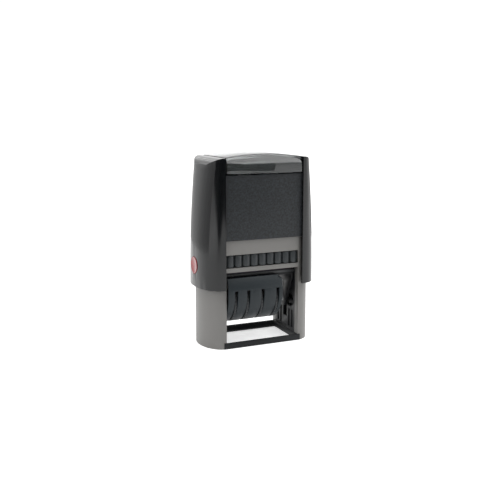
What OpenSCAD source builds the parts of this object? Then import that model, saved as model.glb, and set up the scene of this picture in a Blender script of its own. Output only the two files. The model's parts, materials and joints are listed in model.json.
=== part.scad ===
// Self-inking date stamp. Pressing the cap carries a turning frame down through
// the base: the frame flips over on its way, so that the rubber die and the date
// bands leave the ink pad above them and meet the paper below the bottom frame.
// Millimetres, +Z up, the front towards -Y, the origin on the floor at the middle.

/* [Text plate] */
// Length of the text plate
plate_w = 41; // [36:0.5:56]
// Depth of the text plate
plate_d = 24; // [22:0.5:26]
// Thickness of the text plate
plate_t = 1.5; // [1:0.1:2]
// Thickness of the rubber die
die_t = 2.1; // [1.6:0.1:2.4]
// Distance of the rubber inside the plate's edge
die_inset = 0.5; // [0.3:0.1:1.5]

/* [Stroke] */
// Distance of the die's face from the pivot
die_reach = 12.6; // [12.2:0.1:13]
// Travel of the cap, during which the frame turns half a turn
travel = 16.7; // [15.5:0.1:18]

/* [Base] */
// Gap between the end of the text plate and the side guides
end_gap = 0.6; // [0.4:0.1:1.5]
// Thickness of the side guides
guide_t = 2; // [1.8:0.1:3]
// Sideways bulge of each pillar beyond the guide's inner face
pillar_w = 10.3; // [9.8:0.1:16]
// Amount by which the pillars draw in where the cap hides them
neck_in = 2.6; // [2:0.1:3]
// Wall of the base housing
shell_t = 1.8; // [1.2:0.1:2.2]
// Gap between the text plate and the front and back bars
bar_gap = 1.1; // [0.8:0.1:2]
// Thickness of the front and back bars
bar_t = 2.6; // [2:0.1:5]
// Height of the bottom frame
bar_h = 3.4; // [2.5:0.1:3.5]
// Amount by which the bars stand proud of the housing
bar_proud = 0.3; // [0.1:0.1:0.6]
// Overlap of the bars over the pillars at each end
bar_lap = 1.4; // [0.5:0.1:1.6]
// Gap between the text plate and the ends of the bottom frame
frame_end_gap = 0.3; // [0.2:0.1:0.5]

/* [Ink pad] */
// Space between the resting die and the pad slot
pad_gap = 1.8; // [1.7:0.1:3]
// Height of the pad slot
slot_h = 7; // [6:0.1:10]
// Play of the pad cassette in its slot, all round
pad_play = 0.1; // [0.05:0.05:0.3]
// Travel of the pad cassette out of the back
pad_travel = 38; // [30:1:60]
// Number of grip ribs on the cassette's front
rib_count = 9; // [5:1:12]
// Wall of the pad cassette
tray_t = 1.2; // [0.8:0.1:2]

/* [Cap] */
// Wall of the cap's sides
cap_t = 1.6; // [1.2:0.1:2]
// Sliding gap between the cap's sides and the base
slide_gap = 0.6; // [0.5:0.1:1]
// Thickness of the front and back panels
panel_t = 1.1; // [0.8:0.1:2]
// Gap between the panels and the base
panel_gap = 0.3; // [0.2:0.1:0.6]
// Thickness of the front and back faces of the wings
wing_t = 1.3; // [1:0.1:2]
// Distance of the wings' edges outside the guides' inner faces
wing_offset = 1.1; // [0.8:0.1:2]
// Height of the cap's lower edge above the floor when it is pressed
pressed_gap = 15.9; // [12:0.1:17]
// Height of the front panel's lower edge above the pad slot
panel_lift = 7.7; // [4:0.1:12]
// Space in the cap between the pressed base and the deck
head_room = 9.3; // [6:0.1:30]
// Radius of the shoulders at the top of the cap
shoulder_r = 7.5; // [4:0.5:9]
// Radius of the upright curve that the cap's sides follow
barrel_r = 560; // [500:10:2000]
// Radius of the crown across the top
crown_r = 144; // [100:1:600]

/* [Index window] */
// Wall of the clear window
glazing_t = 1.2; // [0.8:0.1:1.4]
// Height of the window's front face
glazing_h = 10.4; // [9:0.1:12]
// Inset of the window's sides from the wings
glazing_gap = 0.3; // [0.2:0.1:1]
// Thickness of the index card
card_t = 0.3; // [0.2:0.1:0.5]

/* [Lock buttons] */
// Diameter of a lock button
button_d = 9.2; // [6:0.1:10]
// Height of the lock buttons above the cap's lower edge
button_up = 11.4; // [9:0.1:16]
// Travel of a lock button
button_travel = 1.4; // [0.8:0.1:1.6]

/* [Turning frame] */
// Diameter of the pivot pins
pivot_d = 4; // [3:0.1:5]
// Diameter of the cam pins
cam_pin_d = 2.4; // [2:0.1:2.8]
// Distance of the cam pins from the pivot, beyond half the travel
cam_extra = 0.65; // [0.5:0.05:1]
// Thickness of the frame's end arms
arm_t = 1.2; // [1:0.1:1.6]
// Thickness of the frame's top
frame_t = 1.4; // [1:0.1:1.8]
// Radial clearance of a pin in its bore
pin_play = 0.05; // [0.02:0.01:0.1]
// Outer radius of the wheel cover about the pivot
cover_r = 17.7; // [17.2:0.1:17.8]
// Wall of the wheel cover
cover_t = 1.2; // [0.8:0.1:1.6]

/* [Date wheels] */
// Offsets of the four thumb rims along the frame, from its left end
rim_at = [4.3, 11.3, 19.7, 28.4];
// Width of a thumb rim
rim_t = 1.2; // [0.8:0.1:1.4]
// Radius of a thumb rim
rim_r = 12.2; // [11.8:0.1:12.4]
// Width of the slots that the rims stand in
rim_slot = 1.9; // [1.7:0.1:2.4]
// Radius of the drums that carry the bands
drum_r = 6.3; // [5:0.1:6.6]
// Thickness of a date band
band_t = 1.1; // [0.8:0.1:1.2]
// Diameter of the wheels' axle
axle_d = 2; // [1.5:0.1:3]

/* [Return spring] */
// Diameter of the spring wire
wire_d = 1.1; // [0.8:0.1:1.4]
// Mean radius of the spring
coil_r = 6.4; // [5:0.1:8]
// Turns of the spring
coil_turns = 8; // [6:1:10]

/* [Hidden] */
$fn = 48;
fit = 0.01;

// Heights
pivot_z = die_reach + travel;
die_z = pivot_z + die_reach;
plate_z = die_z - die_t - plate_t;
frame_z = plate_z - frame_t;
strip_drop = 0.5;
strip_z = die_z - strip_drop;
rail_t = 0.7;
slot_z = die_z + pad_gap;
slot_top = slot_z + slot_h;
bridge_t = 2;
bridge_top = slot_top + bridge_t;
panel_z = slot_top + panel_lift;
pad_clear = 0.6;
back_lap = 4;
back_panel_z = slot_top + travel + pad_clear;
base_top = back_panel_z + back_lap;
deck_z = base_top + travel + head_room;
deck_t = 1.8;
crown_h = 1.4;
card_play = 0.2;
cap_z = travel + pressed_gap;
window_t = glazing_t + card_t + 2 * card_play;
cap_top = deck_z + deck_t + window_t + crown_h;
button_z = cap_z + button_up;
hook_drop = 3.1;
shelf_z = button_z - button_d / 2 - hook_drop;

// Widths, as distances from the middle
guide_x = plate_w / 2 + end_gap;
guide_out = guide_x + guide_t;
base_x = guide_x + pillar_w;
base_y = plate_d / 2 + bar_gap + bar_t;
opening_x = plate_w / 2 + frame_end_gap;
opening_y = plate_d / 2 + bar_gap;
post_y = 3;
guide_y = base_y - post_y - shell_t / 2;
panel_in = base_y + panel_gap;
panel_y = panel_in + panel_t;
wing_x = guide_x + wing_offset;
cap_x = base_x + slide_gap + cap_t;
cap_y = panel_y + wing_t;
cap_bulge = cap_x - wing_x;
panel_lap = 1.6;
panel_top_gap = 0.2;
recess_wall = 1.2;
skirt_t = 1.4;

// Side outlines: 2 is an ellipse, and more is squarer
base_power = 2;
cap_power = 2.3;
outline_steps = 14;

// Top of the cap between the wings: a flat top, a bevel and an upright face
glazing_z = cap_top - glazing_h;
face_inset = 0.2;
bevel_y = 3.3;
bevel_z = 4.8;

// Lock buttons
button_play = 0.2;
flange_gap = 0.1;
flange_t = 0.3;
flange_lap = 0.9;
button_in = base_x + flange_gap;
flange_r = button_d / 2 + flange_lap;
button_proud = 0.25;
dish_r = 30;
dish_depth = 0.5;

// Drive yoke, which the cap pushes the pivot pins with
yoke_gap = 0.3;
yoke_t = 2.5;
yoke_y = 4.5;
yoke_in = guide_out + yoke_gap;
yoke_out = yoke_in + yoke_t;
yoke_top_t = 2.5;
yoke_top_y = 8;
slot_play = 0.2;
groove_play = 0.25;
groove_depth = 1.3;
rail_x = 0.8;
pivot_r = pivot_d / 2;
cam_r = cam_pin_d / 2;
cam_reach = travel / 2 + cam_extra;

// Turning frame
frame_x = plate_w / 2;
frame_y = plate_d / 2 - 0.4;
arm_top_inset = 0.6;
arm_top_h = 2;
arm_in = frame_x - arm_t;
arm_tip_r = 3.8;
wheel_y = -4.5;
wheel_drop = 4.1;
wheel_z = pivot_z - wheel_drop;
rim_x = [for (a = rim_at) a - frame_x];
wheels = len(rim_x);
wheel_gap = 0.1;
axle_r = axle_d / 2;
cover_past_rim = 2.9;
cover_end_x = rim_x[wheels - 1] + cover_past_rim;
cover_left_x = -frame_x;
cover_front_z = plate_z - 0.2;
cover_back_z = pivot_z + 1.7;
slot_depth = 4;
slot_up = 2.2;
rim_teeth = 40;
tooth_h = 0.35;
band_play = 0.15;
bridge_y = 2.6;
bridge_corner = 1;
rim_clear = 0.3;
bridge_low = wheel_z + rim_r + rim_clear;
bridge_high = die_z - band_t - band_play;
date_y = 5.2;
date_front = 1.6;
band_left = -arm_in + 0.2;
date_right = cover_end_x - 1.4;

// Return spring
coil_clear = 0.3;
coil_end_gap = 0.05;
coil_peg_r = coil_r - wire_d / 2 - coil_clear;
peg_h = 5;

// Right half of a rounded outline: flat to x0, then a side of width a and depth b
function side_points(x0, a, b, power) = [for (i = [0:outline_steps])
    let (t = 90 - 180 * i / outline_steps)
    [x0 + a * pow(max(cos(t), 0), 2 / power), b * sign(t) * pow(abs(sin(t)), 2 / power)]];

function mirrored(points) = [for (p = points) [-p[0], p[1]]];

function reversed(points) = [for (i = [len(points) - 1:-1:0]) points[i]];

module outline(x0, a, b, power) {
    right = side_points(x0, a, b, power);
    polygon(concat(right, reversed(mirrored(right))));
}

module base_outline(bulge, inset = 0) {
    outline(guide_x, bulge - inset, base_y - inset, base_power);
}

// Centre block between two heights
module slab(x, y, z0, z1) {
    translate([-x, -y, z0]) cube([2 * x, 2 * y, z1 - z0]);
}

module both_sides() {
    children();
    mirror([1, 0, 0]) children();
}

module front_and_back() {
    children();
    mirror([0, 1, 0]) children();
}

// Extrudes a drawing in Y and Z along X, from x0 to x1
module along_x(x0, x1) {
    translate([x0, 0, 0]) rotate([90, 0, 90]) linear_extrude(x1 - x0) children();
}

// Extrudes a drawing in X and Z along Y, both ways from the middle
module along_y(y) {
    translate([0, y, 0]) rotate([90, 0, 0]) linear_extrude(2 * y) children();
}

module bar_x(r, x0, x1, y, z) {
    translate([x0, y, z]) rotate([0, 90, 0]) cylinder(r = r, h = x1 - x0);
}

// ---------- base ----------

module housing_walls() {
    neck = pillar_w - neck_in;
    difference() {
        union() {
            linear_extrude(shelf_z) base_outline(pillar_w);
            linear_extrude(base_top) base_outline(neck);
        }
        translate([0, 0, -1]) linear_extrude(shelf_z - shell_t + 1) base_outline(pillar_w, shell_t);
        translate([0, 0, -1]) linear_extrude(base_top + 2) base_outline(neck, shell_t);
    }
}

module corner_posts() {
    front_and_back() both_sides()
        translate([guide_x, guide_y, bar_h]) cube([guide_t, base_y - guide_y - shell_t / 2, base_top - bar_h]);
}

module base_housing() {
    color("#8a8884") difference() {
        union() {
            housing_walls();
            corner_posts();
        }
        slab(guide_x, base_y + 1, -1, strip_z);
        slab(guide_x, base_y + 1, slot_z, slot_top);
        slab(guide_x + bar_lap, base_y + 1, -1, bar_h);
    }
}

// Sloped inner top edges let the die's corners swing in
module bottom_frame() {
    slope_z = 1.2;
    slope_y = 2;
    color("#25282a") difference() {
        slab(guide_x + bar_lap, base_y + bar_proud, 0, bar_h);
        slab(opening_x, opening_y, -1, bar_h + 1);
        along_x(-opening_x, opening_x) polygon([
            [-opening_y, slope_z], [opening_y, slope_z], [opening_y + slope_y, bar_h],
            [opening_y + slope_y, bar_h + 1], [-opening_y - slope_y, bar_h + 1], [-opening_y - slope_y, bar_h]]);
    }
}

// Place of the cam pin when the frame has turned through a, as [y, z]
function cam_at(a) = [-cam_reach * sin(a), pivot_z - travel * a / 180 - cam_reach * cos(a)];

// Direction square to the pin's path, away from the loop's inside
function cam_out(a) =
    let (v = [-cam_reach * cos(a), cam_reach * sin(a) - travel / PI])
    [-v[1], v[0]] / norm(v);

// The cam groove: a loop with a lens-shaped island that the pin goes round
module cam_groove() {
    half = cam_r + groove_play;
    steps = 24;
    end_steps = 4;
    end_angle = atan2(cam_out(180)[1], cam_out(180)[0]);
    outer = [for (i = [0:steps]) let (a = 180 * i / steps) cam_at(a) + half * cam_out(a)];
    high_end = [for (i = [1:end_steps]) let (b = end_angle * (1 - i / end_steps))
        cam_at(180) + half * [cos(b), sin(b)]];
    low_end = [for (i = [0:end_steps - 1]) let (b = -end_angle * i / end_steps)
        cam_at(0) + half * [cos(b), sin(b)]];
    level = asin(travel / PI / cam_reach);
    island_r = cam_reach * cos(level) - half;
    difference() {
        polygon(concat(outer, high_end, low_end));
        intersection() {
            island(level, island_r);
            translate([half + groove_play - cam_reach, 0]) square([cam_reach, 2 * pivot_z]);
        }
    }
}

// What two discs share, their centres above the lower arm and below the upper one
module island(level, r) {
    intersection() {
        translate([-travel / PI, pivot_z - travel * level / 180]) circle(r = r);
        translate([-travel / PI, pivot_z - travel * (180 - level) / 180]) circle(r = r);
    }
}

// One side guide: an upright slot for the pivot pin, the cam groove in the inner
// face, moulded grooves beside the slot, and the rail that the pad cassette rests on
module guide() {
    half = pivot_r + slot_play;
    low = die_reach - half;
    high = pivot_z + half;
    rail_z = slot_z - rail_t;
    rib_w = 1.8;
    rib_h = 10;
    color("#1f2224") difference() {
        union() {
            translate([guide_x, -guide_y, bar_h]) cube([guide_t, 2 * guide_y, slot_top - bar_h]);
            translate([guide_x - rail_x, -guide_y, rail_z]) cube([2 * rail_x, 2 * guide_y, rail_t]);
        }
        translate([guide_x - 1, -half, low]) cube([guide_t + 2, 2 * half, high - low]);
        along_x(guide_x - 1, guide_x + groove_depth) cam_groove();
        for (y = [-8.6, -5, 5, 8.6])
            translate([guide_x - 1, y - rib_w / 2, bar_h + 2]) cube([1 + guide_t / 2.5, rib_w, rib_h]);
    }
}

module left_guide() { mirror([1, 0, 0]) guide(); }

module right_guide() { guide(); }

// Plate over the pad slot that the return spring stands on
module spring_bridge() {
    hole_x = 14;
    hole_r = 3;
    color("#2b2e30") {
        difference() {
            slab(guide_out, guide_y, slot_top, bridge_top);
            both_sides() translate([hole_x, 0, slot_top - 1]) cylinder(r = hole_r, h = bridge_t + 2);
        }
        translate([0, 0, bridge_top]) cylinder(r = coil_peg_r, h = peg_h);
    }
}

function coil_point(t, z0, z1) =
    [coil_r * cos(360 * coil_turns * t), coil_r * sin(360 * coil_turns * t), z0 + (z1 - z0) * t];

// Eight-sided wire swept along the coil
module coil(z0, z1) {
    sides = 8;
    rings = coil_turns * 16;
    r = wire_d / 2;
    points = [for (i = [0:rings]) let (t = i / rings, c = coil_point(t, z0, z1), a = 360 * coil_turns * t)
        for (k = [0:sides - 1]) let (b = 360 * k / sides)
        [c[0] + r * cos(b) * cos(a), c[1] + r * cos(b) * sin(a), c[2] + r * sin(b)]];
    walls = [for (i = [0:rings - 1]) for (k = [0:sides - 1])
        let (p = i * sides + k, q = i * sides + (k + 1) % sides)
        [p, p + sides, q + sides, q]];
    first = [for (k = [0:sides - 1]) k];
    last = [for (k = [sides - 1:-1:0]) rings * sides + k];
    polyhedron(concat(points), concat([first], walls, [last]));
}

module return_spring() {
    low = bridge_top + wire_d / 2 + coil_end_gap;
    high = deck_z - yoke_top_t - wire_d / 2 - coil_end_gap;
    color("#b8bcc0") coil(low, high);
}

// ---------- ink pad ----------

pad_end_t = 3;
foam_play = 0.1;

module pad_cassette() {
    x = guide_x - 2 * pad_play;
    low = slot_z + pad_play;
    high = slot_top - 2 * pad_play;
    rib_pitch = 2 * x / rib_count;
    rib_r = 1.7;
    grip_x = 8;
    grip_edge = 1.8;
    color("#1d2022") difference() {
        union() {
            slab(x, base_y - rib_r, low, high);
            for (i = [0:rib_count - 1])
                translate([-x + (i + 0.5) * rib_pitch, -base_y + rib_r, low]) cylinder(r = rib_r, h = high - low);
        }
        slab(x - tray_t, base_y - pad_end_t, low - 1, high - tray_t);
        translate([-grip_x, base_y - rib_r - 1, low + grip_edge])
            cube([2 * grip_x, 2, high - low - 2 * grip_edge]);
    }
}

module ink_pad() {
    x = guide_x - 2 * pad_play - tray_t - foam_play;
    y = base_y - pad_end_t - foam_play;
    color("#1a2440") slab(x, y, slot_z + pad_play, slot_top - 2 * pad_play - tray_t);
}

// ---------- cap ----------

// Height of the crowned top at x, lowered by drop
function crown(x, drop) = cap_top - drop - crown_r + sqrt(crown_r * crown_r - x * x);

// Half width of the cap at height z, less inset
function side_x(z, inset) = cap_x - inset - barrel_r + sqrt(pow(barrel_r, 2) - pow(z - cap_z, 2));

// Outline of the cap at height z, as points
function cap_row(z, inset_x, inset_y) =
    let (a = side_x(max(z, cap_z), inset_x) - wing_x, right = side_points(wing_x, a, cap_y - inset_y, cap_power))
    concat(right, reversed(mirrored(right)));

// Walls of the cap, drawn in towards the top, as a stack of outlines
module cap_walls(inset_x, inset_y, low) {
    rows = 8;
    n = 2 * (outline_steps + 1);
    points = [for (i = [0:rows]) let (z = low + (cap_top + 1 - low) * i / rows)
        for (p = cap_row(z, inset_x, inset_y)) [p[0], p[1], z]];
    walls = [for (i = [0:rows - 1]) for (k = [0:n - 1])
        let (p = i * n + k, q = i * n + (k + 1) % n)
        each [[p, p + n, q + n], [p, q + n, q]]];
    bottom = [for (k = [n - 1:-1:0]) k];
    lid = [for (k = [0:n - 1]) rows * n + k];
    polyhedron(points, concat([bottom], walls, [lid]));
}

// Front view of the cap's crowned top and its shoulders, inset by the same wall
module cap_front_view(inset) {
    steps = 12;
    r = shoulder_r - inset;
    side = side_x(cap_top - crown_h - shoulder_r, 0);
    cx = side - shoulder_r;
    cz = crown(cx, 0) - shoulder_r;
    turn = [for (i = [0:steps - 1]) let (a = 90 * i / steps) [cx + r * cos(a), cz + r * sin(a)]];
    top = [for (i = [0:steps]) let (x = cx * (1 - i / steps)) [x, crown(x, inset)]];
    right = concat([[cap_x + 1, cap_z - 2], [cap_x + 1, cz], [side - inset, cz]], turn, top);
    polygon(concat(right, reversed(mirrored(right))));
}

// The cap's outside with no insets, and its inside with the walls' thicknesses
module cap_solid(inset_x, inset_y, low) {
    intersection() {
        cap_walls(inset_x, inset_y, low);
        along_y(cap_y + 1) cap_front_view(inset_x);
    }
}

// Side view of the cap's top between the wings, inset by the same wall all over
module deck_side_view(inset, low) {
    bevel_l = norm([bevel_y, bevel_z]);
    y = cap_y - face_inset - inset;
    top_y = cap_y - face_inset - bevel_y - inset * (bevel_l - bevel_y) / bevel_z;
    face_z = cap_top - bevel_z - inset * (bevel_l - bevel_z) / bevel_y;
    high = cap_top + 1;
    top_z = cap_top - inset;
    polygon([[-y, low], [y, low], [y, face_z], [top_y, top_z], [top_y, high],
        [-top_y, high], [-top_y, top_z], [-y, face_z]]);
}

module crown_front_view(x, drop, low) {
    steps = 16;
    top = [for (i = [0:steps]) let (a = x * (1 - 2 * i / steps)) [a, crown(a, drop)]];
    polygon(concat([[-x, low], [x, low]], top));
}

module deck_solid(x, inset, low) {
    intersection() {
        along_y(cap_y + 1) crown_front_view(x, inset, low);
        along_x(-x, x) deck_side_view(inset, low);
    }
}

// Hole for a lock button, with a pocket behind the wall for its flange
module button_hole() {
    bar_x(button_d / 2 + button_play, base_x - 1, cap_x + 1, 0, button_z);
    bar_x(flange_r + button_play, base_x - 1, button_in + flange_t + flange_gap, 0, button_z);
}

// Plate under the window, with a skirt inside the window's faces
module deck() {
    difference() {
        deck_solid(wing_x + recess_wall, window_t, glazing_z);
        slab(wing_x + recess_wall + 1, cap_y - window_t - skirt_t, glazing_z - 1, deck_z);
    }
}

module cap_shell() {
    color("#2f3335") difference() {
        union() {
            difference() {
                cap_solid(0, 0, cap_z);
                cap_solid(cap_t, wing_t, cap_z - 1);
                slab(wing_x, cap_y + 1, cap_z - 1, cap_top + 1);
            }
            intersection() {
                cap_solid(0, 0, deck_z);
                both_sides() translate([wing_x, -cap_y, deck_z]) cube([recess_wall, 2 * cap_y, cap_top - deck_z]);
            }
            deck();
        }
        both_sides() button_hole();
        panel_block(panel_z);
        mirror([0, 1, 0]) panel_block(back_panel_z);
    }
}

// Flat panel between the wings, let into the backs of their edges
module panel_block(low) {
    translate([-wing_x - panel_lap, -panel_y, low])
        cube([2 * (wing_x + panel_lap), panel_t, glazing_z - panel_top_gap - low]);
}

module front_panel() { color("#373c40") panel_block(panel_z); }

module back_panel() { color("#34393c") mirror([0, 1, 0]) panel_block(back_panel_z); }

// Bridge under the deck, with an arm down each side to the pivot pins
module drive_yoke() {
    color("#3a3d40") difference() {
        union() {
            slab(yoke_out, yoke_top_y, deck_z - yoke_top_t, deck_z);
            both_sides() {
                translate([yoke_in, -yoke_y, pivot_z]) cube([yoke_t, 2 * yoke_y, deck_z - pivot_z]);
                bar_x(yoke_y, yoke_in, yoke_out, 0, pivot_z);
            }
            translate([0, 0, deck_z - yoke_top_t - peg_h]) cylinder(r = coil_peg_r, h = peg_h + 1);
        }
        both_sides() bar_x(pivot_r + pin_play, yoke_in - 1, yoke_out + 1, 0, pivot_z);
    }
}

module index_card() {
    side_gap = 2;
    bend_y = 4.4;
    inset = glazing_t + card_play;
    color("#1b1e20") difference() {
        deck_solid(wing_x - side_gap, inset, deck_z);
        deck_solid(wing_x, inset + card_t, deck_z - 1);
        front_and_back() translate([-wing_x, cap_y - bend_y, deck_z - 1])
            cube([2 * wing_x, 2 * bend_y, cap_top - deck_z + 2]);
    }
}

module index_window() {
    x = wing_x - glazing_gap;
    color("#c8d0d2", 0.45) difference() {
        deck_solid(x, 0, glazing_z);
        deck_solid(x + 1, glazing_t, glazing_z - 1);
    }
}

// A dished round button with a thin flange behind the cap's wall
module lock_button() {
    outer = cap_x + button_proud;
    color("#b83238") difference() {
        union() {
            bar_x(flange_r, button_in, button_in + flange_t, 0, button_z);
            bar_x(button_d / 2, button_in, outer, 0, button_z);
        }
        translate([outer + dish_r - dish_depth, 0, button_z]) rotate([0, 90, 0]) sphere(r = dish_r, $fn = 96);
    }
}

module left_lock_button() { mirror([1, 0, 0]) lock_button(); }

module right_lock_button() { lock_button(); }

// ---------- turning frame ----------

// End arm: wide at the plate and narrow round the cam pin
module arm_side_view() {
    tip_z = pivot_z - cam_reach;
    top_y = frame_y - arm_top_inset;
    polygon([[-top_y, frame_z + fit], [-top_y, frame_z - arm_top_h], [-arm_tip_r, tip_z],
        [arm_tip_r, tip_z], [top_y, frame_z - arm_top_h], [top_y, frame_z + fit]]);
    translate([0, tip_z]) circle(r = arm_tip_r);
}

module carrier_frame() {
    boss_t = 1.4;
    color("#232628") difference() {
        union() {
            slab(frame_x, frame_y, frame_z, plate_z);
            both_sides() along_x(arm_in, frame_x) arm_side_view();
            bar_x(axle_r + boss_t, -frame_x, -arm_in, wheel_y, wheel_z);
        }
        translate([band_left - wheel_gap, -date_y - date_front, frame_z - 1])
            cube([date_right - band_left + 2 * wheel_gap, 2 * date_y + date_front, frame_t + 2]);
        for (x = rim_x) translate([x - rim_slot / 2, wheel_y - rim_r, frame_z - 1])
            cube([rim_slot, 2 * rim_r - bridge_y, 2]);
        both_sides() bar_x(pivot_r, arm_in - 1, frame_x + 1, 0, pivot_z);
        both_sides() bar_x(cam_r, arm_in - 1, frame_x + 1, 0, pivot_z - cam_reach);
        bar_x(axle_r, -frame_x - 1, -arm_in + 1, wheel_y, wheel_z);
    }
}

// End view of the cover: a disc cut off above, lower at the back than at the front
module cover_view(r) {
    difference() {
        translate([0, pivot_z]) circle(r = r);
        translate([-cover_r - 1, cover_front_z]) square([cover_r + 1, cover_r]);
        translate([-1, cover_back_z]) square([cover_r + 2, cover_r]);
    }
}

// Round cover over the wheels, slotted for the thumb rims, closed at its right end
module wheel_cover() {
    inner = cover_r - cover_t;
    end_in = cover_end_x - cover_t;
    lug_y = 2.4;
    color("#2a2d2f") difference() {
        along_x(cover_left_x, cover_end_x) cover_view(cover_r);
        along_x(cover_left_x - 1, end_in) translate([0, pivot_z]) circle(r = inner);
        translate([end_in - 1, lug_y - inner, frame_z]) cube([cover_t + 2, 2 * inner, cover_r]);
        translate([end_in - 1, -cover_r - 1, frame_z]) cube([cover_t + 2, cover_t + lug_y + 2, cover_r]);
        for (x = rim_x) translate([x - rim_slot / 2, -cover_r - 1, 0])
            cube([rim_slot, slot_depth + cover_r, pivot_z + slot_up]);
        bar_x(axle_r, end_in - 1, cover_end_x + 1, wheel_y, wheel_z);
    }
}

module pivot_pins() {
    end_proud = 0.3;
    color("#a7abae") both_sides() bar_x(pivot_r, arm_in, yoke_out + end_proud, 0, pivot_z);
}

module cam_pins() {
    end_gap_x = 0.1;
    color("#a7abae") both_sides()
        bar_x(cam_r, arm_in, guide_x + groove_depth - end_gap_x, 0, pivot_z - cam_reach);
}

module wheel_axle() {
    color("#a7abae") bar_x(axle_r, -frame_x, cover_end_x, wheel_y, wheel_z);
}

// Two rounded corners of the bar under the bands, grown by a play or a thickness
module band_bridge_view(grow) {
    for (s = [-1, 1]) translate([s * (bridge_y - bridge_corner), bridge_high - bridge_corner])
        circle(r = bridge_corner + grow, $fn = 32);
}

// Rounded bar that holds the bands up at the printing face
module band_bridge() {
    y = bridge_y - bridge_corner;
    color("#4a4e52") along_x(band_left - wheel_gap, date_right + wheel_gap) {
        translate([-bridge_y, bridge_low]) square([2 * bridge_y, bridge_high - bridge_corner - bridge_low]);
        translate([-y, bridge_low]) square([2 * y, bridge_high - bridge_low]);
        band_bridge_view(0);
    }
}

// The date line is open to the left end of the plate
module date_cut(z0, z1, left) {
    translate([left, -date_y, z0]) cube([date_right + wheel_gap - left, 2 * date_y, z1 - z0]);
}

module text_plate() {
    color("#2a2c2e") difference() {
        slab(frame_x, plate_d / 2, plate_z, plate_z + plate_t);
        date_cut(plate_z - 1, plate_z + plate_t + 1, band_left - wheel_gap);
    }
}

// Rubber die: a base sheet with a raised border and generic raised lines
module text_die() {
    x = frame_x - die_inset;
    y = plate_d / 2 - die_inset;
    relief = 0.7;
    sheet = plate_z + plate_t;
    border = 0.9;
    line_y = 1.2;
    line_pitch = 2.6;
    line_in = 4;
    line_step = 3;
    date_margin = 2;
    color("#33262a") difference() {
        union() {
            slab(x, y, sheet, die_z - relief);
            difference() {
                slab(x, y, die_z - relief - fit, die_z);
                slab(x - border, y - border, die_z - relief - 1, die_z + 1);
            }
            for (s = [-1, 1]) for (row = [0, 1])
                let (line_x = x - line_in - line_step * row, y0 = date_y + date_margin + line_pitch * row)
                translate([-line_x, s * y0 - line_y / 2, die_z - relief - fit])
                    cube([2 * line_x, line_y, relief + fit]);
        }
        date_cut(sheet - 1, die_z + 1, -frame_x - 1);
    }
}

function band_lo(i) = i == 0 ? band_left : rim_x[i - 1] + rim_t / 2 + 2 * wheel_gap;

function band_hi(i) = rim_x[i] - rim_t / 2 - wheel_gap;

// Side view of the loop round the drum and the bridge, grown by the band's thickness
module band_view(grow) {
    hull() {
        translate([wheel_y, wheel_z]) circle(r = drum_r + band_play + grow);
        band_bridge_view(band_play + grow);
    }
}

module date_band(i) {
    color("#c9c4b4") along_x(band_lo(i) + wheel_gap, band_hi(i) - wheel_gap) difference() {
        band_view(band_t);
        band_view(0);
    }
}

// Wheel: a drum under its band, and a thumb rim with fine teeth
module date_wheel(i) {
    rim = [for (k = [0:2 * rim_teeth - 1]) let (a = 180 * k / rim_teeth, r = rim_r - tooth_h * (k % 2))
        [r * cos(a), r * sin(a)]];
    color("#34383b") difference() {
        union() {
            bar_x(drum_r, band_lo(i), rim_x[i], wheel_y, wheel_z);
            translate([rim_x[i] - rim_t / 2, wheel_y, wheel_z]) rotate([90, 0, 90]) linear_extrude(rim_t) polygon(rim);
        }
        bar_x(axle_r + pin_play, band_lo(i) - 1, rim_x[i] + rim_t, wheel_y, wheel_z);
    }
}

base_housing();
bottom_frame();
left_guide();
right_guide();
spring_bridge();
return_spring();
pad_cassette();
ink_pad();
cap_shell();
front_panel();
back_panel();
drive_yoke();
index_card();
index_window();
left_lock_button();
right_lock_button();
carrier_frame();
wheel_cover();
pivot_pins();
cam_pins();
wheel_axle();
band_bridge();
text_plate();
text_die();
date_band(0);  // date_band_1
date_band(1);  // date_band_2
date_band(2);  // date_band_3
date_band(3);  // date_band_4
date_wheel(0);  // date_wheel_1
date_wheel(1);  // date_wheel_2
date_wheel(2);  // date_wheel_3
date_wheel(3);  // date_wheel_4
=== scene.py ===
import json
import math
import bmesh
import bpy
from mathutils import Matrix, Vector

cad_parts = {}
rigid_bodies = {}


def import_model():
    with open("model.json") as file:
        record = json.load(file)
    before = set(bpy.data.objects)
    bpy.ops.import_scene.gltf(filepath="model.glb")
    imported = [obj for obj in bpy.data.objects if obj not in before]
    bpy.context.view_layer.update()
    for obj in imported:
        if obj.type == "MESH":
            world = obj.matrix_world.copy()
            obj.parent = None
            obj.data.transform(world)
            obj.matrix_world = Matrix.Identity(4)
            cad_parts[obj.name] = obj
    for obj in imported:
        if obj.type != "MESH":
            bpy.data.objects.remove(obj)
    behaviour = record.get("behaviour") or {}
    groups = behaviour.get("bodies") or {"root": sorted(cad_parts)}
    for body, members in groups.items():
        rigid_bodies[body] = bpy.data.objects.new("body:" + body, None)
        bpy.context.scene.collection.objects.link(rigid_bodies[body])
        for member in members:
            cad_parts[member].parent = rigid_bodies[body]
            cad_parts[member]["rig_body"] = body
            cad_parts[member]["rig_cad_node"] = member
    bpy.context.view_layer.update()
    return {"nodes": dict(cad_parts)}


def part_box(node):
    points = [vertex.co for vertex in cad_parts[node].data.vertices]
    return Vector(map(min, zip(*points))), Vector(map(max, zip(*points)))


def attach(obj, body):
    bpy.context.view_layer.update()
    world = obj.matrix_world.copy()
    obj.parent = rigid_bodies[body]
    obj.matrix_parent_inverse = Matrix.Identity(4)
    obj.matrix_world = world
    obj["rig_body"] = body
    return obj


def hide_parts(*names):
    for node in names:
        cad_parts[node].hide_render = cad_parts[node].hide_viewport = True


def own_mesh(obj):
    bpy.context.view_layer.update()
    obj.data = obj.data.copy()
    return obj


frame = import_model()
mm = 0.001
farY = 30  # cutters reach past every piece, in millimetres
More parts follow.
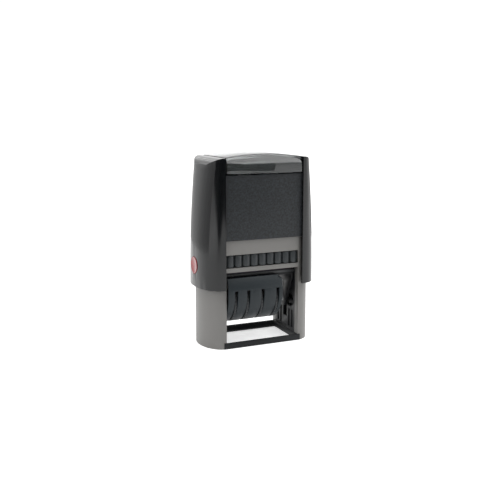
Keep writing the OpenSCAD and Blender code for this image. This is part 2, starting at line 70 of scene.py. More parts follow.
farZ = 120
pieces = []
print("frame loaded:", len(frame["nodes"]), "nodes")


def focus(obj):
    bpy.ops.object.select_all(action="DESELECT")
    bpy.context.view_layer.objects.active = obj
    obj.select_set(True)


def edit(obj, kind="FACE"):
    focus(obj)
    bpy.ops.object.mode_set(mode="EDIT")
    bpy.ops.mesh.select_mode(type=kind)
    bpy.ops.mesh.select_all(action="DESELECT")


def done():
    bpy.ops.object.mode_set(mode="OBJECT")


# selects what test(centre, normal) accepts; an edge's second value is its direction
def pick(obj, kind, test):
    bpy.ops.mesh.select_mode(type=kind)
    bpy.ops.mesh.select_all(action="DESELECT")
    mesh = bmesh.from_edit_mesh(obj.data)
    mesh.normal_update()
    if kind == "FACE":
        for face in mesh.faces:
            face.select_set(bool(test(face.calc_center_median() / mm, face.normal)))
    elif kind == "EDGE":
        for edge in mesh.edges:
            a, b = edge.verts
            edge.select_set(bool(test((a.co + b.co) / 2 / mm, (b.co - a.co).normalized())))
    else:
        for vert in mesh.verts:
            vert.select_set(bool(test(vert.co / mm, vert.normal)))
    mesh.select_flush_mode()
    bmesh.update_edit_mesh(obj.data)


def settle(obj):
    focus(obj)
    bpy.ops.object.transform_apply(location=True, rotation=True, scale=True)
    return obj


def modify(obj, kind, **settings):
    focus(obj)
    modifier = obj.modifiers.new(kind.lower(), kind)
    for name, value in settings.items():
        setattr(modifier, name, value)
    bpy.ops.object.modifier_apply(modifier=modifier.name)


def cut(obj, cutter, operation="DIFFERENCE"):
    modify(obj, "BOOLEAN", operation=operation, solver="EXACT", object=cutter)
    bpy.data.objects.remove(cutter)
    return obj


# small round edges wherever faces meet at more than the angle, then smooth shading
def soften(obj, width, segments=2, angle=32):
    edit(obj)
    bpy.ops.mesh.select_all(action="SELECT")
    bpy.ops.mesh.remove_doubles(threshold=0.002 * mm)
    bpy.ops.mesh.dissolve_limited(angle_limit=math.radians(0.6))
    done()
    modify(obj, "BEVEL", width=width * mm, segments=segments, limit_method="ANGLE",
           angle_limit=math.radians(angle), use_clamp_overlap=True, harden_normals=False)
    bpy.ops.object.shade_smooth_by_angle(angle=math.radians(40))
    return obj


# a box between two corners, in millimetres
def block(name, corner, opposite):
    centre = [(a + b) / 2 * mm for a, b in zip(corner, opposite)]
    size = [(b - a) * mm for a, b in zip(corner, opposite)]
    bpy.ops.mesh.primitive_cube_add(size=1, location=centre, scale=size)
    obj = bpy.context.object
    obj.name = name
    return settle(obj)


# a cylinder along X, from x0 to x1, or along Z, centred on x0, from z to x1
def rod(name, radius, x0, x1, y, z, sides=96, axis="X"):
    if axis == "X":
        centre = [(x0 + x1) / 2 * mm, y * mm, z * mm]
        turn = (0, math.pi / 2, 0)
    else:
        centre = [x0 * mm, y * mm, (z + x1) / 2 * mm]
        turn = (0, 0, 0)
    depth = (x1 - x0 if axis == "X" else x1 - z) * mm
    bpy.ops.mesh.primitive_cylinder_add(vertices=sides, radius=radius * mm, depth=depth,
                                        location=centre, rotation=turn)
    obj = bpy.context.object
    obj.name = name
    return settle(obj)


# rides with the CAD nodes that it stands for
def place(obj, nodes, material):
    obj.data.materials.clear()
    obj.data.materials.append(material)
    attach(obj, frame["nodes"][nodes[0]]["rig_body"])
    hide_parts(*nodes)
    pieces.append(obj.name)
    return obj


def low(node):
    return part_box(node)[0] / mm


def high(node):
    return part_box(node)[1] / mm


def bevelPicked(offset, segments, profile=0.5):
    bpy.ops.mesh.bevel(offset=offset * mm, offset_type="OFFSET", segments=segments, profile=profile,
                       affect="EDGES", clamp_overlap=False)


# cuts a ring of edges round the piece at a height
def ringAt(z):
    bpy.ops.mesh.select_all(action="SELECT")
    bpy.ops.mesh.bisect(plane_co=(0, 0, z * mm), plane_no=(0, 0, 1))


# a block whose left and right ends are round in plan: flat to flatX, then a superellipse
def roundEnded(name, flatX, bulge, depth, z0, z1, power, segments=24):
    obj = block(name, (-flatX - bulge, -bulge, z0), (flatX + bulge, bulge, z1))
    edit(obj, "EDGE")
    pick(obj, "EDGE", lambda c, d: abs(d.z) > 0.9)
    bevelPicked(bulge * 0.9999, segments, 2 ** (-2 / power))
    bpy.ops.mesh.select_all(action="SELECT")
    bpy.ops.transform.resize(value=(1, depth / bulge, 1), center_override=(0, 0, 0))
    bpy.ops.mesh.remove_doubles(threshold=0.005 * mm)
    done()
    return obj


# a node's output, with arithmetic
class Wire:
    def __init__(self, tree, socket=None):
        self.tree = tree
        self.socket = socket

    def make(self, kind, settings=None, inputs=None, output=0):
        node = self.tree.nodes.new(kind)
        for name, value in (settings or {}).items():
            if name == "stops":
                ramp = node.color_ramp
                while len(ramp.elements) > 1:
                    ramp.elements.remove(ramp.elements[0])
                ramp.elements[0].position = value[0][0]
                ramp.elements[0].color = value[0][1]
                for position, colour in value[1:]:
                    ramp.elements.new(position).color = colour
            else:
                setattr(node, name, value)
        for name, value in (inputs or {}).items():
            if isinstance(value, Wire):
                self.tree.links.new(value.socket, node.inputs[name])
            else:
                node.inputs[name].default_value = value
        return Wire(self.tree, node.outputs[output])

    def sum(self, operation, first, second):
        return self.make("ShaderNodeMath", {"operation": operation}, {0: first, 1: second})

    def __add__(self, other):
        return self.sum("ADD", self, other)

    def __sub__(self, other):
        return self.sum("SUBTRACT", self, other)

    def __rsub__(self, other):
        return self.sum("SUBTRACT", other, self)

    def __mul__(self, other):
        return self.sum("MULTIPLY", self, other)

    __radd__ = __add__
    __rmul__ = __mul__


def grey(value):
    return (value, value, value, 1)


def startMaterial(name):
    material = bpy.data.materials.new(name)
    material.use_nodes = True
    tree = material.node_tree
    shader = tree.nodes["Principled BSDF"]
    start = Wire(tree)
    where = start.make("ShaderNodeTexCoord", output=3)
    return material, shader, start, where


def feed(shader, wire, name):
    wire.tree.links.new(wire.socket, shader.inputs[name])


def mixColour(start, factor, first, second):
    return start.make("ShaderNodeMix", {"data_type": "RGBA"}, {0: factor, 6: first, 7: second}, output=2)


# moulded plastic: soft mottling of the colour, a fine moulded grain, and uneven gloss
def plastic(name, colour, roughness, grain=600, grainDepth=0.02, mottle=0.08, roughSpread=0.08,
            specular=0.5):
    material, shader, start, where = startMaterial(name)
    cloud = start.make("ShaderNodeTexNoise", None, {"Vector": where, "Scale": 90.0, "Detail": 4.0})
    fine = start.make("ShaderNodeTexNoise", None, {"Vector": where, "Scale": float(grain), "Detail": 3.0})
    smear = start.make("ShaderNodeTexNoise", None, {"Vector": where, "Scale": 35.0, "Detail": 6.0,
                                                    "Roughness": 0.65})
    dark = tuple(c * (1 - mottle) for c in colour) + (1,)
    light = tuple(c * (1 + mottle) for c in colour) + (1,)
    feed(shader, mixColour(start, cloud, dark, light), "Base Color")
    feed(shader, smear * (2 * roughSpread) + (roughness - roughSpread), "Roughness")
    bump = start.make("ShaderNodeBump", None, {"Strength": grainDepth, "Distance": 0.0001, "Height": fine})
    feed(shader, bump, "Normal")
    shader.inputs["Specular IOR Level"].default_value = specular
    return material


# the fine eroded grain of the flat panels
def sparkTexture(name, colour, roughness):
    material, shader, start, where = startMaterial(name)
    pits = start.make("ShaderNodeTexVoronoi", {"feature": "SMOOTH_F1"},
                      {"Vector": where, "Scale": 1900.0, "Smoothness": 0.6})
    fine = start.make("ShaderNodeTexNoise", None, {"Vector": where, "Scale": 1500.0, "Detail": 4.0})
    cloud = start.make("ShaderNodeTexNoise", None, {"Vector": where, "Scale": 1100.0, "Detail": 3.0})
    height = pits + fine * 0.8
    spread = start.make("ShaderNodeMapRange", None, {"Value": cloud, "From Min": 0.35, "From Max": 0.65})
    dark = tuple(c * 0.4 for c in colour) + (1,)
    light = tuple(c * 2.0 for c in colour) + (1,)
    feed(shader, mixColour(start, spread, dark, light), "Base Color")
    feed(shader, fine * 0.25 + (roughness - 0.12), "Roughness")
    feed(shader, start.make("ShaderNodeBump", None, {"Strength": 0.5, "Distance": 0.0002,
                                                     "Height": height}), "Normal")
    shader.inputs["Specular IOR Level"].default_value = 0.35
    return material


def clearPlastic(name):
    material, shader, start, where = startMaterial(name)
    smear = start.make("ShaderNodeTexNoise", None, {"Vector": where, "Scale": 60.0, "Detail": 5.0})
    shader.inputs["Base Color"].default_value = (0.6, 0.64, 0.64, 1)
    shader.inputs["Transmission Weight"].default_value = 1.0
    shader.inputs["IOR"].default_value = 1.49
    feed(shader, smear * 0.04 + 0.01, "Roughness")
    return material


def metal(name, colour, roughness, scratch=(1, 1, 60)):
    material, shader, start, where = startMaterial(name)
    along = start.make("ShaderNodeMapping", None, {"Vector": where, "Scale": scratch})
    lines = start.make("ShaderNodeTexNoise", None, {"Vector": along, "Scale": 300.0, "Detail": 4.0})
    shader.inputs["Metallic"].default_value = 1.0
    feed(shader, mixColour(start, lines, tuple(c * 0.8 for c in colour) + (1,), colour + (1,)), "Base Color")
    feed(shader, lines * 0.2 + (roughness - 0.1), "Roughness")
    feed(shader, start.make("ShaderNodeBump", None, {"Strength": 0.15, "Distance": 0.00005,
                                                     "Height": lines}), "Normal")
    return material


# rubber or foam with ink worked into it
def rubber(name, colour, stain, amount):
    material, shader, start, where = startMaterial(name)
    cloud = start.make("ShaderNodeTexNoise", None, {"Vector": where, "Scale": 140.0, "Detail": 6.0})
    fine = start.make("ShaderNodeTexNoise", None, {"Vector": where, "Scale": 1800.0, "Detail": 3.0})
    patch = start.make("ShaderNodeValToRGB", {"stops": [(0.5 - amount / 2, grey(0)), (0.75, grey(1))]},
                       {"Fac": cloud})
    feed(shader, mixColour(start, patch, colour + (1,), stain + (1,)), "Base Color")
    feed(shader, fine * 0.2 + 0.55, "Roughness")
    feed(shader, start.make("ShaderNodeBump", None, {"Strength": 0.3, "Distance": 0.0001,
                                                     "Height": fine}), "Normal")
    return material


taupePlastic = plastic("taupePlastic", (0.128, 0.125, 0.119), 0.42, grain=1400, grainDepth=0.12,
                       mottle=0.04)
blackGloss = plastic("blackGloss", (0.0035, 0.004, 0.0045), 0.12, grain=500, grainDepth=0.012,
                     mottle=0.1, roughSpread=0.04, specular=0.42)
blackSatin = plastic("blackSatin", (0.017, 0.0205, 0.0225), 0.38,
                     grain=1300, grainDepth=0.1, specular=0.35)
coverBlack = plastic("coverBlack", (0.016, 0.0205, 0.0235), 0.42,
                     grain=1300, grainDepth=0.1, specular=0.22)
# the black satin plastic painted darker: painted shade for the pieces that sit inside the housing and under
# the cap
innerBlackPaintedShade = plastic("innerBlackPaintedShade", (0.0065, 0.0075, 0.0085), 0.45,
                     grain=1300, grainDepth=0.1, specular=0.22)
wheelBlack = plastic("wheelBlack", (0.016, 0.018, 0.02), 0.42,
                     grain=1200, grainDepth=0.1, specular=0.3)
blackTexture = sparkTexture("blackTexture", (0.0055, 0.0072, 0.0088), 0.5)
clearWindow = clearPlastic("clearWindow")
cardBlack = plastic("cardBlack", (0.008, 0.0095, 0.0105), 0.5,
                    grain=2200, grainDepth=0.2, specular=0.25)
redPlastic = plastic("redPlastic", (0.2, 0.012, 0.016), 0.2, grain=700, grainDepth=0.03)
pinSteel = metal("pinSteel", (0.2, 0.2, 0.205), 0.35, (60, 1, 1))
springSteel = metal("springSteel", (0.5, 0.5, 0.5), 0.3)
platePlastic = plastic("platePlastic", (0.018, 0.02, 0.022), 0.4, grain=1300, grainDepth=0.08)
dieRubber = rubber("dieRubber", (0.03, 0.016, 0.018), (0.01, 0.01, 0.03), 0.3)
bandRubber = rubber("bandRubber", (0.11, 0.1, 0.085), (0.012, 0.012, 0.03), 0.25)
padFoam = rubber("padFoam", (0.012, 0.016, 0.07), (0.004, 0.005, 0.03), 0.5)
print("materials ready")


cap = {"wingX": 22.2, "sideWall": 1.6, "frontWall": 1.3, "power": 2.3, "sideCurve": 560, "rows": 9,
       "shoulder": 7.5, "shoulderSteps": 20, "topDrop": 1.82, "recess": 1.2, "skirt": 1.4, "spare": 2,
       "holePlay": 0.2, "edge": 0.35}
glazing = {"faceInset": 0.2, "bevelY": 3.3, "bevelZ": 4.8, "crown": 144, "wall": 1.2, "sideGap": 0.8,
           "under": 1.9, "edge": 0.28, "bottomGap": 0.45, "crownSides": 720, "crownDepth": 0.06}
button = {"flange": 0.9, "flangeWall": 0.3, "dish": 0.45, "dishShare": 0.92, "rings": 6, "sides": 64,
          "edge": 0.3}
capLow, capHigh = low("cap_shell"), high("cap_shell")
topZ = high("index_window").z
glazingLow = low("index_window").z
deckZ = high("drive_yoke").z


def sideBulge(z):
    return capHigh.x - cap["wingX"] - (z - capLow.z) ** 2 / (2 * cap["sideCurve"])


# the cap's outline, drawn in towards the top, under its rounded shoulders
def capBlock(name, wallX, wallY, z0):
    bulge = sideBulge(capLow.z) - wallX
    shoulderTop = topZ - cap["topDrop"] - wallX
    spareTop = shoulderTop + cap["spare"]
    obj = roundEnded(name, cap["wingX"], bulge, capHigh.y - wallY, z0, spareTop, cap["power"])
    edit(obj, "VERT")
    heights = [capLow.z + (spareTop - capLow.z) * i / cap["rows"] for i in range(1, cap["rows"])]
    for z in heights:
        ringAt(z)
    for z in heights + [spareTop]:
        draw = (sideBulge(z) - wallX) / bulge
        for side in (-1, 1):
            pick(obj, "VERT", lambda c, n: abs(c.z - z) < 0.01 and c.x * side > cap["wingX"] + 0.001)
            bpy.ops.transform.resize(value=(draw, 1, 1), center_override=(side * cap["wingX"] * mm, 0, 0))
    done()
    sideX = cap["wingX"] + sideBulge(topZ - cap["shoulder"] - cap["spare"]) - wallX + 0.01
    top = block(name + "Top", (-sideX, -farY, 0), (sideX, farY, shoulderTop))
    edit(top, "EDGE")
    pick(top, "EDGE", lambda c, d: abs(d.y) > 0.9 and c.z > capLow.z)
    bevelPicked(cap["shoulder"] - wallX, cap["shoulderSteps"])
    pick(top, "VERT", lambda c, n: c.z < shoulderTop - cap["shoulder"] + wallX + 0.05)
    bpy.ops.transform.resize(value=(1.2, 1, 1), center_override=(0, 0, 0))  # clear of the sides
    done()
    return cut(obj, top, "INTERSECT")


# a flat top, a bevel and an upright face at the front and the back, crowned across
def glazingBlock(name, halfX, inset, z0):
    slope = math.hypot(glazing["bevelY"], glazing["bevelZ"])
    y = capHigh.y - glazing["faceInset"] - inset
    topY = y - glazing["bevelY"] - inset * (slope - glazing["bevelY"]) / glazing["bevelZ"]
    faceZ = topZ - glazing["bevelZ"] - inset * (slope - glazing["bevelZ"]) / glazing["bevelY"]
    obj = block(name, (-halfX, -y, z0), (halfX, y, faceZ))
    edit(obj)
    pick(obj, "FACE", lambda c, n: n.z > 0.9)
    rise = (0, 0, (topZ - inset - faceZ) * mm)
    bpy.ops.mesh.extrude_region_move(TRANSFORM_OT_translate={"value": rise})
    bpy.ops.transform.resize(value=(1, topY / y, 1), center_override=(0, 0, 0))
    done()
    bpy.ops.mesh.primitive_cylinder_add(vertices=glazing["crownSides"], radius=glazing["crown"] * mm,
                                        depth=glazing["crownDepth"],
                                        location=(0, 0, (topZ - inset - glazing["crown"]) * mm),
                                        rotation=(math.pi / 2, 0, 0))
    crown = settle(bpy.context.object)
    return cut(obj, crown, "INTERSECT")


def makeCapShell():
    obj = capBlock("capShell", 0, 0, capLow.z)
    cut(obj, capBlock("capInside", cap["sideWall"], cap["frontWall"], capLow.z - 1))
    cut(obj, block("capMiddle", (-cap["wingX"], -farY, 0), (cap["wingX"], farY, farZ)))
    reach = cap["wingX"] + cap["recess"]
    deck = glazingBlock("deck", reach, glazing["under"], glazingLow)
    inner = capHigh.y - glazing["under"] - cap["skirt"]
    cut(deck, block("deckInside", (-capHigh.x, -inner, 0), (capHigh.x, inner, deckZ)))
    cut(obj, deck, "UNION")
    for side in (-1, 1):
        wall = capBlock("recessWall", 0.02, 0.02, deckZ + 0.5)
        xs = sorted((side * cap["wingX"], side * reach))
        cut(wall, block("recessPart", (xs[0], -farY, 0), (xs[1], farY, farZ)), "INTERSECT")
        cut(obj, wall, "UNION")
    lockLow, lockHigh = low("left_lock_button").z, high("left_lock_button").z
    radius = (lockHigh - lockLow) / 2 - button["flange"] + cap["holePlay"]
    cut(obj, rod("buttonHole", radius, -capHigh.x - 1, capHigh.x + 1, 0, (lockLow + lockHigh) / 2))
    soften(obj, cap["edge"], 3, 28)
    return place(obj, ["cap_shell"], blackGloss)


def makeWindow():
    obj = glazingBlock("indexWindow", cap["wingX"] - glazing["sideGap"], 0,
                       glazingLow + glazing["bottomGap"])
    cut(obj, glazingBlock("windowInside", cap["wingX"] + 2, glazing["wall"], glazingLow - 2))
    soften(obj, glazing["edge"], 3, 30)
    return place(obj, ["index_window"], clearWindow)


panel = {"rim": 0.5, "edge": 0.25}


# a flat panel with rounded edges
def makePanel(node, name):
    obj = block(name, low(node), high(node))
    edit(obj)
    pick(obj, "FACE", lambda c, n: abs(n.y) > 0.9)
    bpy.ops.mesh.inset(thickness=panel["rim"] * mm, depth=0)
    done()
    soften(obj, panel["edge"], 3)
    return place(obj, [node], blackTexture)


makeCapShell()
makeWindow()
makePanel("front_panel", "frontPanel")
makePanel("back_panel", "backPanel")
print("cap ready")


# pushed in from the side: a flange behind the wall, a round head with a dished end
def makeButton(node, side):
    a, b = low(node), high(node)
    radius = (b.z - a.z) / 2
    inner = min(abs(a.x), abs(b.x))
    outer = max(abs(a.x), abs(b.x))
    z = (a.z + b.z) / 2
    head = radius - button["flange"]
    ends = sorted((side * inner, side * outer))
    obj = rod(node.replace("_", ""), head, ends[0], ends[1], 0, z, button["sides"])
    edit(obj)
    pick(obj, "FACE", lambda c, n: n.x * side > 0.9)
    step = head * button["dishShare"] / button["rings"]
    for ring in range(button["rings"]):
        r0 = head - ring * step
        fall = button["dish"] * (r0 ** 2 - (r0 - step) ** 2) / head ** 2
        bpy.ops.mesh.inset(thickness=step * mm, depth=-fall * mm)
    done()
    ends = sorted((side * inner, side * (inner + button["flangeWall"])))
    cut(obj, rod("flange", radius, ends[0], ends[1], 0, z, button["sides"]), "UNION")
    soften(obj, button["edge"], 4, 40)
    return place(obj, [node], redPlastic)


makeButton("left_lock_button", -1)
makeButton("right_lock_button", 1)
print("buttons ready")


base = {"flatX": 21.1, "wall": 1.8, "neckIn": 2.6, "shelfZ": 36.3, "lap": 1.4, "postY": 3.0, "postX": 2.0,
        "slotBelow": 0.1, "slotAbove": 0.2, "stripDrop": 0.5, "edge": 0.3}


# two round pillars with a narrower neck inside the cap, joined by the panels at the front and the back
def makeHousing():
    b = high("base_housing")
    barZ = high("bottom_frame").z
    slotLow = low("pad_cassette").z - base["slotBelow"]
    slotHigh = high("pad_cassette").z + base["slotAbove"]
    stripZ = high("text_die").z - base["stripDrop"]
    flatX, wall, shelfZ = base["flatX"], base["wall"], base["shelfZ"]
    bulge = b.x - flatX
    neck = bulge - base["neckIn"]
    obj = roundEnded("baseHousing", flatX, bulge, b.y, 0, shelfZ, 2)
    cut(obj, roundEnded("neck", flatX, neck, b.y, shelfZ - 1, b.z, 2), "UNION")
    cut(obj, roundEnded("pillarInside", flatX, bulge - wall, b.y - wall, -1, shelfZ - wall, 2))
    cut(obj, roundEnded("neckInside", flatX, neck - wall, b.y - wall, -2, b.z + 1, 2))
    for sideX in (-1, 1):
        for sideY in (-1, 1):
            xs = sorted((sideX * flatX, sideX * (flatX + base["postX"])))
            ys = sorted((sideY * (b.y - base["postY"] - wall / 2), sideY * (b.y - wall / 2)))
            cut(obj, block("post", (xs[0], ys[0], barZ), (xs[1], ys[1], b.z)), "UNION")
    cut(obj, block("window", (-flatX, -farY, -1), (flatX, farY, stripZ)))
    cut(obj, block("slot", (-flatX, -farY, slotLow), (flatX, farY, slotHigh)))
    lapX = flatX + base["lap"]
    cut(obj, block("lap", (-lapX, -farY, -1), (lapX, farY, barZ)))
    soften(obj, base["edge"], 3, 30)
    return place(obj, ["base_housing"], taupePlastic)


bottomFrame = {"openX": 20.8, "openY": 13.1, "flareZ": 1.2, "flare": 2, "edge": 0.25}


# a flat ring whose front and back bars slope down towards the opening
def makeBottomFrame():
    a, b = low("bottom_frame"), high("bottom_frame")
    x, y = bottomFrame["openX"], bottomFrame["openY"]
    obj = block("bottomFrame", a, b)
    hole = block("hole", (-x, -y, -1), (x, y, bottomFrame["flareZ"]))
    edit(hole)
    pick(hole, "FACE", lambda c, n: n.z > 0.9)
    rise = (0, 0, (b.z - bottomFrame["flareZ"]) * mm)
    bpy.ops.mesh.extrude_region_move(TRANSFORM_OT_translate={"value": rise})
    bpy.ops.transform.resize(value=(1, (y + bottomFrame["flare"]) / y, 1), center_override=(0, 0, 0))
    bpy.ops.mesh.extrude_region_move(TRANSFORM_OT_translate={"value": (0, 0, mm)})
    done()
    cut(obj, hole)
    soften(obj, bottomFrame["edge"], 2, 25)
    # the frame takes the darker inner black, painted shade where it sits inside the base
    return place(obj, ["bottom_frame"], innerBlackPaintedShade)


cassette = {"ribs": 9, "ribR": 1.75, "ribShare": 0.47, "ribEnd": 0.9, "tray": 1.2, "frontWall": 3.0,
            "backWall": 1.3, "gripX": 8, "gripDepth": 0.8, "gripEdge": 1.8, "edge": 0.18}


# a tray with half-round ribs across its front and a finger grip at the back
def makeCassette():
    a, b = low("pad_cassette"), high("pad_cassette")
    r = cassette["ribR"]
    obj = block("padCassette", (a.x, a.y + r, a.z), b)
    pitch = (b.x - a.x) / cassette["ribs"]
    for i in range(cassette["ribs"]):
        x = a.x + (i + 0.5) * pitch
        rib = rod("rib", r, x, b.z, a.y + r, a.z, 40, axis="Z")
        edit(rib, "EDGE")
        pick(rib, "EDGE", lambda c, d: abs(d.z) < 0.1 and abs(c.z - (a.z + b.z) / 2) > 1)
        bevelPicked(cassette["ribEnd"], 5)
        bpy.ops.mesh.select_all(action="SELECT")
        bpy.ops.transform.resize(value=(pitch * cassette["ribShare"] / r, 1, 1),
                                 center_override=(x * mm, 0, 0))
        done()
        cut(obj, rib, "UNION")
    tray = cassette["tray"]
    cut(obj, block("trayInside", (a.x + tray, a.y + cassette["frontWall"], a.z - 1),
                   (b.x - tray, b.y - cassette["backWall"], b.z - tray)))
    gripX, gripEdge = cassette["gripX"], cassette["gripEdge"]
    cut(obj, block("grip", (-gripX, b.y - cassette["gripDepth"], a.z + gripEdge),
                   (gripX, b.y + 1, b.z - gripEdge)))
    soften(obj, cassette["edge"], 2, 35)
    return place(obj, ["pad_cassette"], blackSatin)


makeHousing()
makeBottomFrame()
makeCassette()
print("base ready")


cover = {"wall": 1.2, "slot": 1.9, "slotBack": 3, "slotUp": 2.2, "backUp": 1.7, "endBack": 2.4,
         "endDrop": 1.2, "cornerIn": 0.5, "cornerDrop": 1.6, "cornerBack": 3.6, "sides": 160, "edge": 0.2}
wheels = {"count": 4, "teeth": 40, "tooth": 0.35, "rim": 1.2, "ring": 1.6, "groove": 0.4,
          "grooveDepth": 0.25, "drumR": 6.3, "boreR": 1.05, "edge": 0.07}


# a half-round shell with one closed end and a slot over each thumb wheel
def makeCover():
    a, b = low("wheel_cover"), high("wheel_cover")
    radius = b.y
    pivot = a.z + radius
    frontZ, backZ = b.z, pivot + cover["backUp"]
    inner = radius - cover["wall"]
    endIn = b.x - cover["wall"]
    obj = rod("wheelCover", radius, a.x, b.x, 0, pivot, cover["sides"])
    cut(obj, rod("hollow", inner, a.x - 1, endIn, 0, pivot, cover["sides"]))
    cut(obj, block("above", (a.x - 1, -farY, frontZ), (b.x + 1, farY, farZ)))
    cut(obj, block("behind", (a.x - 1, -1, backZ), (b.x + 1, farY, farZ)))
    cut(obj, block("endCut", (endIn - 1, cover["endBack"] - inner, frontZ - cover["endDrop"]),
                   (b.x + 1, farY, farZ)))
    cut(obj, block("endCorner", (endIn - cover["cornerIn"], -farY, frontZ - cover["cornerDrop"]),
                   (b.x + 1, cover["cornerBack"] - radius, farZ)))
    for number in range(1, wheels["count"] + 1):
        x = high(f"date_wheel_{number}").x - wheels["rim"] / 2
        cut(obj, block("slot", (x - cover["slot"] / 2, -farY, 0),
                       (x + cover["slot"] / 2, cover["slotBack"], pivot + cover["slotUp"])))
    soften(obj, cover["edge"], 2, 30)
    return place(obj, ["wheel_cover"], coverBlack)


# a drum under its band, and a thumb rim with fine teeth
def makeWheel(number):
    node = f"date_wheel_{number}"
    a, b = low(node), high(node)
    radius = (b.z - a.z) / 2
    y, z = (a.y + b.y) / 2, (a.z + b.z) / 2
    rim = wheels["rim"]
    obj = rod(f"dateWheel{number}", radius, b.x - rim, b.x, y, z, 2 * wheels["teeth"])
    edit(obj, "VERT")
    step = math.pi / wheels["teeth"]
    pick(obj, "VERT", lambda c, n: round(math.atan2(c.y - y, c.z - z) / step) % 2)
    shrink = 1 - wheels["tooth"] / radius
    bpy.ops.transform.resize(value=(1, shrink, shrink), center_override=(0, y * mm, z * mm))
    for side in (-1, 1):
        pick(obj, "FACE", lambda c, n: n.x * side > 0.9)
        bpy.ops.mesh.inset(thickness=wheels["ring"] * mm, depth=0)
        bpy.ops.mesh.inset(thickness=wheels["groove"] * mm, depth=-wheels["grooveDepth"] * mm)
    done()
    cut(obj, rod("drum", wheels["drumR"], a.x, b.x - rim / 2, y, z, 64), "UNION")
    cut(obj, rod("bore", wheels["boreR"], a.x - 1, b.x + 1, y, z, 32))
    soften(obj, wheels["edge"], 1, 35)
    return place(obj, [node], wheelBlack)


makeCover()
for number in range(1, wheels["count"] + 1):
    makeWheel(number)
print("wheels ready")


# an inner piece: the CAD shape with its edges rounded
def softCopy(node, material, width, segments):
    source = frame["nodes"][node]
    obj = source.copy()
    obj.data = source.data.copy()
    bpy.context.scene.collection.objects.link(obj)
    obj.parent = None
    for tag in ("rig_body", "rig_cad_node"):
        del obj[tag]
    obj.name = node + "Soft"
    soften(obj, width, segments)
    return place(obj, [node], material)


# the inner black pieces are black satin plastic painted darker, as painted shade inside the stamp
softNodes = {
    "left_guide": ("black_satin", innerBlackPaintedShade, 0.12, 2),
    "right_guide": ("black_satin", innerBlackPaintedShade, 0.12, 2),
    "spring_bridge": ("black_satin", innerBlackPaintedShade, 0.2, 2),
    "ink_pad": ("pad_foam", padFoam, 0.3, 3),
    "drive_yoke": ("black_satin", innerBlackPaintedShade, 0.2, 2),
    "index_card": ("card", cardBlack, 0.05, 1),
    "carrier_frame": ("black_satin", innerBlackPaintedShade, 0.12, 2),
    "pivot_pins": ("pin_steel", pinSteel, 0.15, 2),
    "cam_pins": ("pin_steel", pinSteel, 0.15, 2),
    "wheel_axle": ("pin_steel", pinSteel, 0.15, 2),
    "band_bridge": ("black_satin", innerBlackPaintedShade, 0.1, 2),
    "text_plate": ("plate_plastic", platePlastic, 0.15, 2),
    "text_die": ("die_rubber", dieRubber, 0.08, 2),
}
for number in range(1, wheels["count"] + 1):
    softNodes[f"date_band_{number}"] = ("band_rubber", bandRubber, 0.1, 2)

for node, (slotName, material, width, segments) in softNodes.items():
    obj = softCopy(node, material, width, segments)
    node == "ink_pad"  # firm foam, held in the tray

# the wire ring is wound up the axis
spring = {"turns": 8, "wire": 0.55, "ringSides": 12, "stepsPerTurn": 40, "stroke": 16.7, "endTurns": 1,
          "endGap": 0.05}


def makeSpring():
    a, b = low("return_spring"), high("return_spring")
    radius = b.x - spring["wire"]
    bottom, top = a.z + spring["wire"], b.z - spring["wire"]
    flat = 2 * spring["wire"] + spring["endGap"]
    parts = [("returnSpring", bottom + flat, (top - bottom - 2 * flat) / spring["turns"], spring["turns"]),
             ("springFoot", bottom, flat, spring["endTurns"]),
             ("springHead", top - flat, flat, spring["endTurns"])]
    coils = []
    for name, z, pitch, turns in parts:
        bpy.ops.object.select_all(action="DESELECT")
        bpy.ops.mesh.primitive_circle_add(vertices=spring["ringSides"], radius=spring["wire"] * mm,
                                          location=(radius * mm, 0, z * mm), rotation=(math.pi / 2, 0, 0))
        coil = settle(bpy.context.object)
        coil.name = name
        modify(coil, "SCREW", axis="Z", angle=2 * math.pi, screw_offset=pitch * mm, iterations=turns,
               steps=spring["stepsPerTurn"], render_steps=spring["stepsPerTurn"], use_merge_vertices=False)
        coils.append(coil)
    obj = coils[0]
    focus(obj)
    for coil in coils[1:]:
        coil.select_set(True)
    bpy.ops.object.join()
    edit(obj, "VERT")
    bpy.ops.mesh.select_all(action="SELECT")
    bpy.ops.mesh.remove_doubles(threshold=0.01 * mm)
    bpy.ops.mesh.select_all(action="DESELECT")
    bpy.ops.mesh.select_non_manifold()
    bpy.ops.mesh.edge_face_add()
    bpy.ops.mesh.select_all(action="SELECT")
    bpy.ops.mesh.normals_make_consistent(inside=False)
    done()
    bpy.ops.object.shade_smooth_by_angle(angle=math.radians(60))
    place(obj, ["return_spring"], springSteel)
    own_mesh(obj)


makeSpring()
print("inner pieces placed:", len(pieces))


studio = {"floorSize": 6.0, "floorColour": 0.9, "floorGlow": 0.45, "sky": 1.05, "cardRadius": 0.38,
          "cardTop": 0.2, "cardParts": 6, "cloth": 0.004}
# the front card's lower edge: degrees round the object, and height
cardEdge = [(-179, 0.085), (-165, 0.066), (-150, 0.044), (-136, 0.023), (-125, 0.004), (-117, -0.012),
            (-108, 0.004), (-98, 0.016), (-86, 0.02), (-75, 0.012), (-60.5, 0.0)]
# the other cards: name, degrees from and to, lower and upper height, glow
sideCards = [("rightCard", 28, 66, 0.0, 0.09, 0.0),
             ("leftCard", 84, 178, 0.0, 0.2, 0.8),
             ("backCard", 30, 112, 0.1, 0.3, 1.25)]
# the lights: name, place, aim, size, power
lights = [("keyLight", (-0.62, -0.3, 0.32), (0, 0, 0.05), (0.5, 0.4), 1.6),
          ("fillLight", (0.65, -0.1, 0.35), (0, 0, 0.05), (0.4, 0.5), 0.9),
          ("overLight", (0.33, -0.33, 0.72), (0, 0, 0.09), (0.45, 0.45), 2.0)]
cameraView = {"place": (-0.16325, -0.36737, 0.12434), "down": 0.1838, "turn": -0.4165, "lens": 53.47,
              "sensor": 36, "near": 0.01}


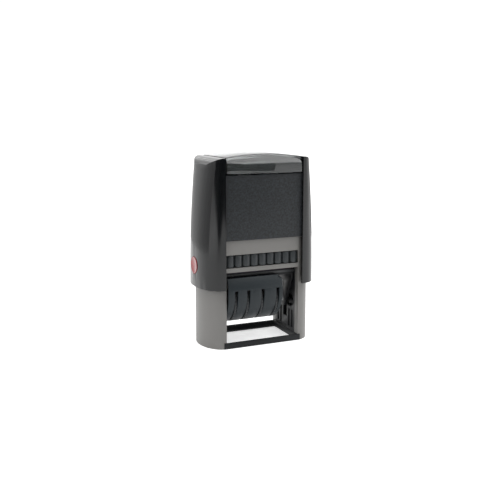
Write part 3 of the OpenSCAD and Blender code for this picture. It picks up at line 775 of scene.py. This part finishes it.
def buildStudio():
    bpy.ops.object.select_all(action="DESELECT")
    bpy.ops.mesh.primitive_plane_add(size=studio["floorSize"])
    floor = bpy.context.object
    floor.name = "floor"
    material, shader, start, where = startMaterial("paleFloor")
    cloud = start.make("ShaderNodeTexNoise", None, {"Vector": where, "Scale": 6.0, "Detail": 3.0})
    tone = studio["floorColour"]
    feed(shader, mixColour(start, cloud, grey(tone * 0.99), grey(tone * 1.01)), "Base Color")
    shader.inputs["Roughness"].default_value = 0.7
    shader.inputs["Emission Color"].default_value = grey(1)
    shader.inputs["Emission Strength"].default_value = studio["floorGlow"]
    floor.data.materials.append(material)

    world = bpy.data.worlds.new("studioWorld")
    bpy.context.scene.world = world
    world.use_nodes = True
    background = world.node_tree.nodes["Background"]
    background.inputs["Color"].default_value = (1, 1, 1, 1)
    background.inputs["Strength"].default_value = studio["sky"]


# a standing card that only shows in gloss: a small plane's corner is drawn out round the object, then up
def addCard(name, edge, top, glow=0.0, shades=False):
    bpy.ops.object.select_all(action="DESELECT")
    radius = studio["cardRadius"]
    points = [(radius * math.cos(math.radians(degrees)), radius * math.sin(math.radians(degrees)), height)
              for degrees, height in edge]
    bpy.ops.mesh.primitive_plane_add(size=0.01)
    card = bpy.context.object
    card.name = name
    edit(card, "VERT")
    pick(card, "VERT", lambda c, n: c.x > 0 or c.y > 0)
    bpy.ops.mesh.delete(type="VERT")
    bpy.ops.mesh.select_all(action="SELECT")
    bpy.ops.transform.translate(value=(points[0][0] + 0.005, points[0][1] + 0.005, points[0][2]))
    for previous, point in zip(points, points[1:]):
        step = tuple(b - a for a, b in zip(previous, point))
        bpy.ops.mesh.extrude_region_move(TRANSFORM_OT_translate={"value": step})
    bpy.ops.mesh.select_all(action="SELECT")
    bpy.ops.mesh.extrude_region_move(TRANSFORM_OT_translate={"value": (0, 0, top)})
    bpy.ops.transform.resize(value=(1, 1, 0), center_override=(0, 0, top))
    done()
    material, shader, begin, where = startMaterial(name + "Cloth")
    shader.inputs["Base Color"].default_value = grey(studio["cloth"])
    shader.inputs["Roughness"].default_value = 1.0
    shader.inputs["Specular IOR Level"].default_value = 0.0
    shader.inputs["Emission Color"].default_value = grey(1)
    shader.inputs["Emission Strength"].default_value = glow
    card.data.materials.append(material)
    for ray in ("camera", "transmission", "shadow", "volume_scatter"):
        setattr(card, "visible_" + ray, False)
    card.visible_diffuse = shades


def addLight(name, spot, aim, size, power):
    bpy.ops.object.light_add(type="AREA", location=spot)
    light = bpy.context.object
    light.name = name
    light.data.shape = "RECTANGLE"
    light.data.size, light.data.size_y = size
    light.data.energy = power
    direction = Vector(aim) - Vector(spot)
    light.rotation_euler = direction.to_track_quat("-Z", "Y").to_euler()


def buildCamera():
    bpy.ops.object.camera_add(location=cameraView["place"],
                              rotation=(math.pi / 2 - cameraView["down"], 0, cameraView["turn"]))
    camera = bpy.context.object
    camera.data.lens = cameraView["lens"]
    camera.data.sensor_width = cameraView["sensor"]
    camera.data.clip_start = cameraView["near"]
    bpy.context.scene.camera = camera


buildStudio()
addCard("frontCard", cardEdge, studio["cardTop"], shades=True)
for name, turnFrom, turnTo, bottom, top, glow in sideCards:
    step = (turnTo - turnFrom) / studio["cardParts"]
    addCard(name, [(turnFrom + i * step, bottom) for i in range(studio["cardParts"] + 1)], top, glow)
for settings in lights:
    addLight(*settings)
buildCamera()
bpy.context.scene.view_settings.view_transform = "Standard"
print("studio ready")
